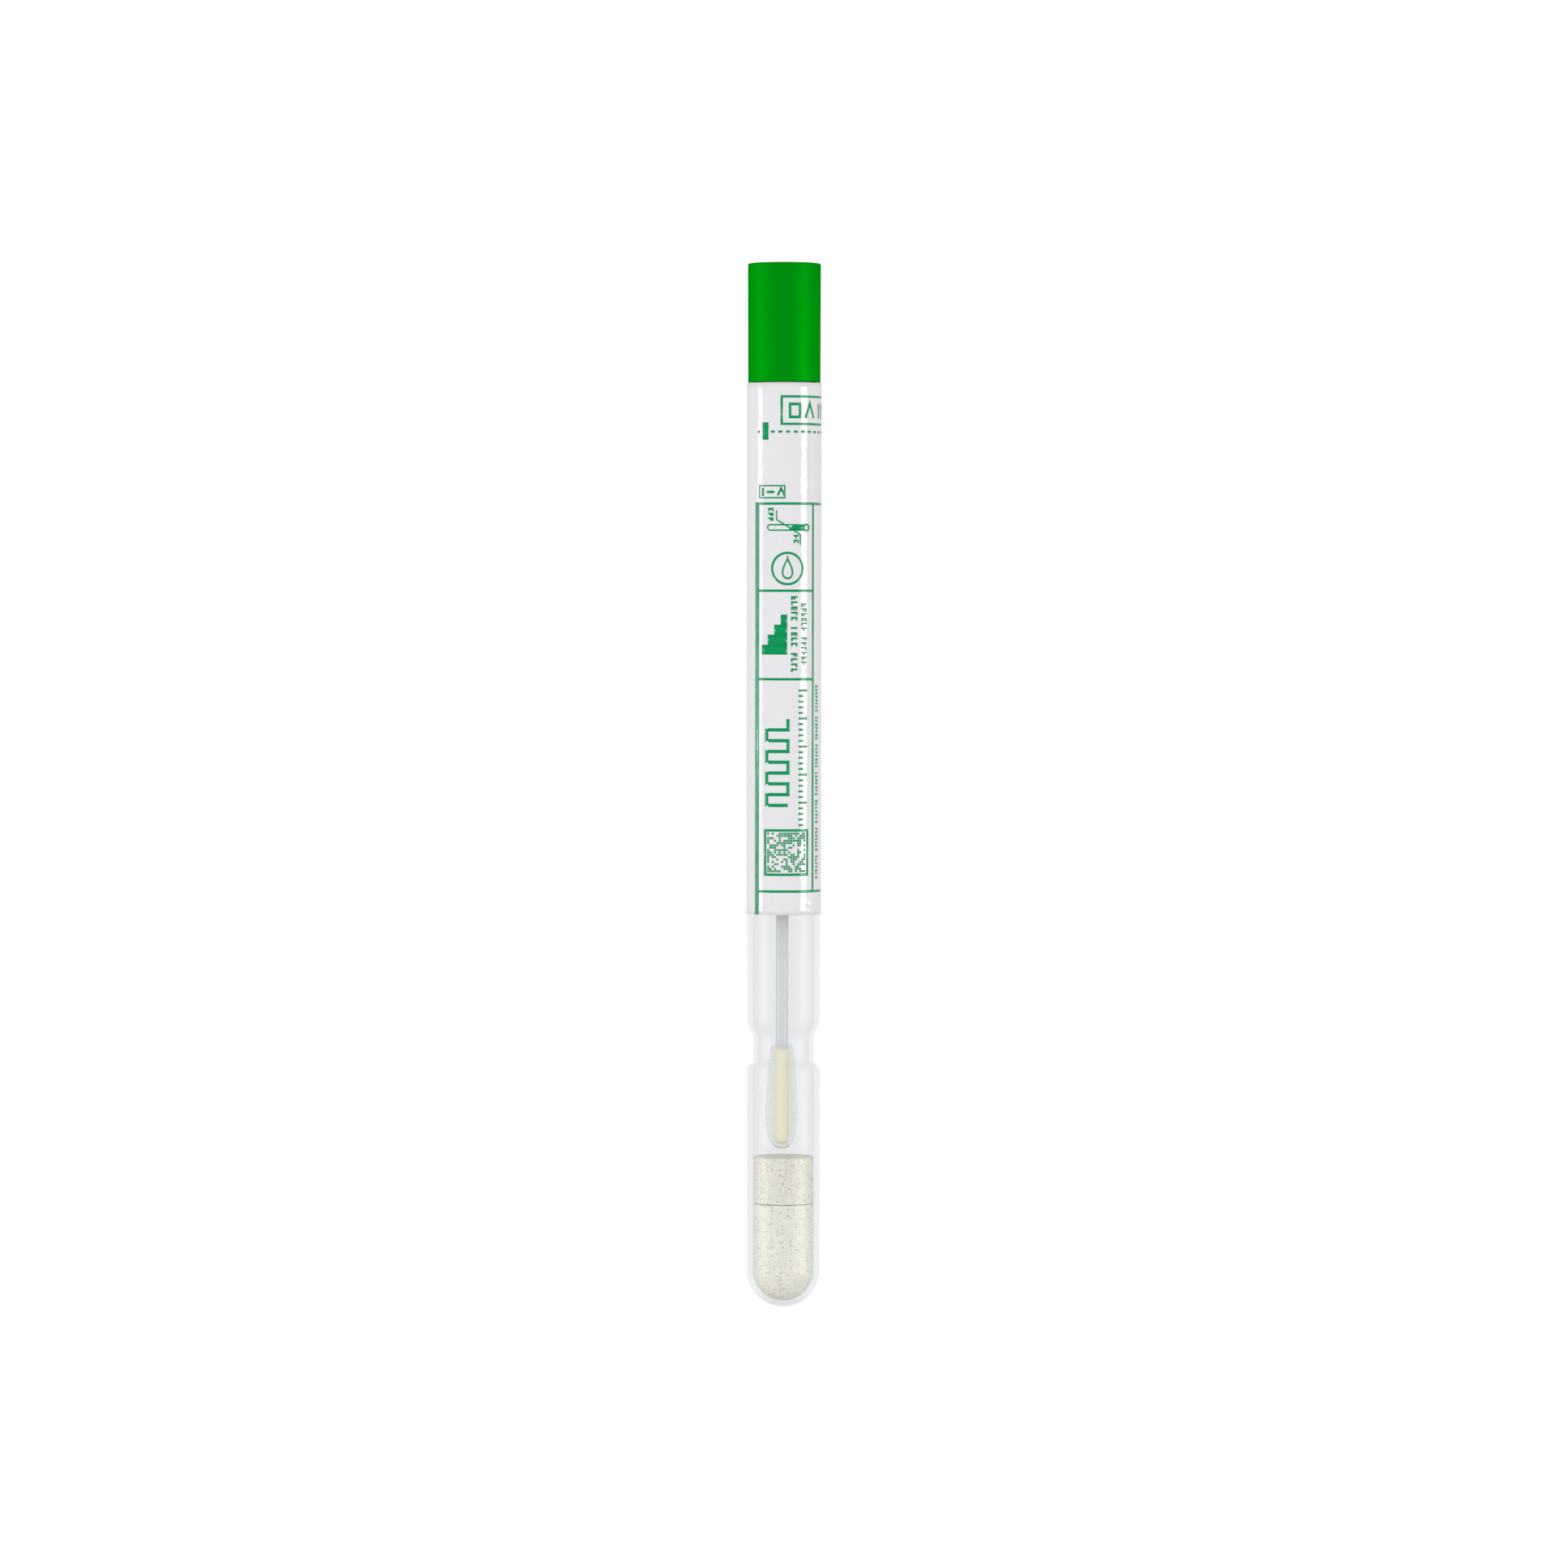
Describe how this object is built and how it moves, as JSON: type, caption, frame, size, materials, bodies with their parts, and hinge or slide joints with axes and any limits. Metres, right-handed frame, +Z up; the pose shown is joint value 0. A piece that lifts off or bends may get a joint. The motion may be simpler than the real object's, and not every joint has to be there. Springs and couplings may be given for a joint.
{
  "type": "specimen swab tube",
  "caption": "Round-ended clear tube with a ring waist and wrap label, holding a fibre swab on its push-in cap over damp foam plugs.",
  "frame": {"origin": "the middle of the object's bounding box at its lowest point, where the label touches the surface it lies on", "axes": "+Y along the tube's axis towards the cap, +Z up from the surface that the tube lies on, +X across the tube"},
  "size_m": [0.0132, 0.1868, 0.0133],
  "materials": {
    "clear_plastic": "gloss",
    "label_film": "gloss",
    "green_plastic": "satin",
    "shaft_plastic": "satin",
    "bud_fibre": "matte",
    "lower_foam": "matte",
    "upper_foam": "matte"
  },
  "bodies": {
    "tube_body": {"tube": "clear_plastic", "wrap_label": "label_film", "lower_foam_plug": "lower_foam", "upper_foam_plug": "upper_foam"},
    "swab_body": {"plug_cap": "green_plastic", "swab_shaft": "shaft_plastic", "fibre_bud": "bud_fibre"}
  },
  "joints": [
    {"name": "cap_pull", "type": "slide", "parent": "tube_body", "child": "swab_body", "axis": [0, 1, 0], "range_m": [0, 0.15]}
  ]
}
